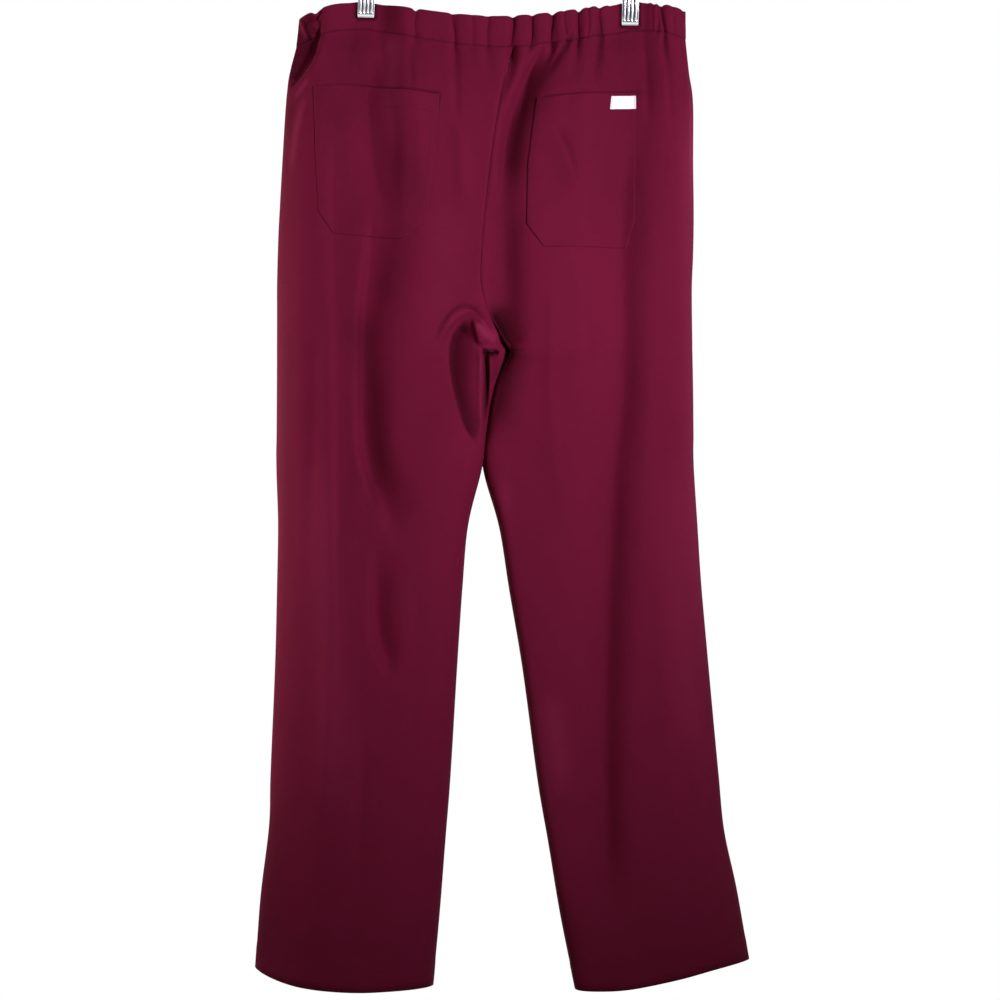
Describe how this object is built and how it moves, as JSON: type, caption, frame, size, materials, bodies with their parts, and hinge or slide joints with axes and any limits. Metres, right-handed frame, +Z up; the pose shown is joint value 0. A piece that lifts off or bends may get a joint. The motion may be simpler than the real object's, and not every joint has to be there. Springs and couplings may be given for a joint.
{
  "type": "scrub trousers on a clip hanger",
  "caption": "Pull-on scrub trousers with a gathered elastic waistband and back patch pockets, hung by the waist from a metal clip hanger.",
  "frame": {"origin": "the hook's seat, where the underside of the hook's top rests on a rail", "axes": "+Z up, +X to the wearer's right, the back of the trousers towards -Y"},
  "size_m": [0.533, 0.1077, 1.163],
  "materials": {
    "poplin": "matt burgundy plain weave",
    "woven_label": "smooth white woven tape",
    "chrome": "bright plated steel"
  },
  "bodies": {
    "root": {"back_left": "poplin", "back_right": "poplin", "front_left": "poplin", "front_right": "poplin", "waistband": "poplin", "pocket_left": "poplin", "pocket_right": "poplin", "label": "woven_label", "hook": "chrome", "collar": "chrome", "bar": "chrome", "clip_left_spring": "chrome", "clip_left_back_jaw": "chrome", "clip_left_front_jaw": "chrome", "clip_right_spring": "chrome", "clip_right_back_jaw": "chrome", "clip_right_front_jaw": "chrome"}
  },
  "joints": []
}
